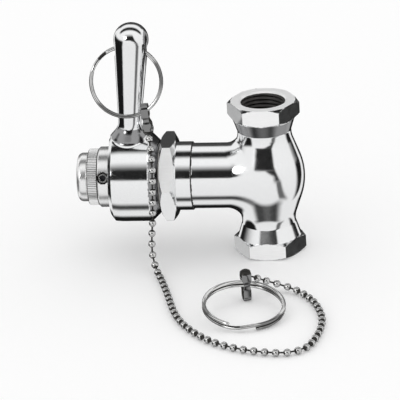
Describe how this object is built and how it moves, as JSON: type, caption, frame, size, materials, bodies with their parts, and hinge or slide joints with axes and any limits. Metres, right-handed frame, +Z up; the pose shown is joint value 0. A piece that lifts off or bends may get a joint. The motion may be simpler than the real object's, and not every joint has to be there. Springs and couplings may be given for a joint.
{
  "type": "self-closing shower valve",
  "caption": "Self-closing shower valve with two threaded ports, a side barrel turned by a lever that springs shut, and a pull chain with a ring.",
  "frame": {"origin": "centre of the inlet port's mouth, at the top of the valve", "axes": "+Z up along the port axis and out of the inlet, +X along the barrel axis from its cap towards the body, -Y towards the user"},
  "size_m": [0.1157, 0.1389, 0.1086],
  "materials": {
    "chrome_plate": "polished chrome plate on brass",
    "cast_brass": "plain machined brass",
    "stainless": "stainless steel",
    "nickel_wire": "nickel-plated steel",
    "black_rubber": "moulded sealing rubber",
    "white_nylon": "plain bearing plastic"
  },
  "bodies": {
    "valve": {"valve_body": "chrome_plate", "seat_ring": "cast_brass", "bonnet_gasket": "black_rubber", "bonnet_sleeve": "cast_brass", "stem_seal": "black_rubber", "gland_ring": "cast_brass", "bonnet_nut": "chrome_plate", "thrust_washer": "white_nylon", "retaining_collar": "chrome_plate", "collar_set_screw": "stainless", "end_bush": "cast_brass", "return_spring": "stainless", "chain_run": "nickel_wire", "pull_clasp": "nickel_wire", "pull_ring": "nickel_wire"},
    "lever": {"lever_barrel": "chrome_plate", "dust_ring": "black_rubber", "chain_top": "nickel_wire"},
    "lever_ring": {"lever_ring": "nickel_wire", "lever_clasp": "nickel_wire"},
    "stem": {"stem": "cast_brass", "cam_pin": "stainless", "disc_holder": "cast_brass", "seat_washer": "black_rubber", "washer_screw": "stainless"},
    "adjuster": {"knurled_ring": "chrome_plate", "end_cap": "chrome_plate", "adjuster_screw": "cast_brass"},
    "spring_seat": {"spring_seat": "cast_brass"}
  },
  "joints": [
    {"name": "lever_turn", "type": "hinge", "parent": "valve", "child": "lever", "pos_m": [-0.058, 0, -0.03575], "axis": [1, 0, 0], "range_deg": [0, 45], "stiffness_Nm_per_rad": 0.8, "springref_deg": -20.05, "deforming": ["chain_top", "chain_run"]},
    {"name": "stem_lift", "type": "slide", "parent": "lever", "child": "stem", "axis": [-1, 0, 0], "range_m": [0, 0.0041], "deforming": ["return_spring"]},
    {"name": "ring_swing", "type": "hinge", "parent": "lever", "child": "lever_ring", "pos_m": [-0.05733, 0, 0.02469], "axis": [-0.9973, 0, 0.0732], "range_deg": [0, 60], "deforming": ["chain_top"]},
    {"name": "adjuster_turn", "type": "hinge", "parent": "valve", "child": "adjuster", "pos_m": [-0.078, 0, -0.03575], "axis": [1, 0, 0], "range_deg": [-360, 360]},
    {"name": "spring_seat_travel", "type": "slide", "parent": "valve", "child": "spring_seat", "axis": [-1, 0, 0], "range_m": [-0.00101, 0.00101], "deforming": ["return_spring"]}
  ],
  "couplings": [
    {"joint": "stem_lift", "follows": "lever_turn", "m_per_rad": 0.005093},
    {"joint": "spring_seat_travel", "follows": "adjuster_turn", "m_per_rad": 0.00015915}
  ]
}
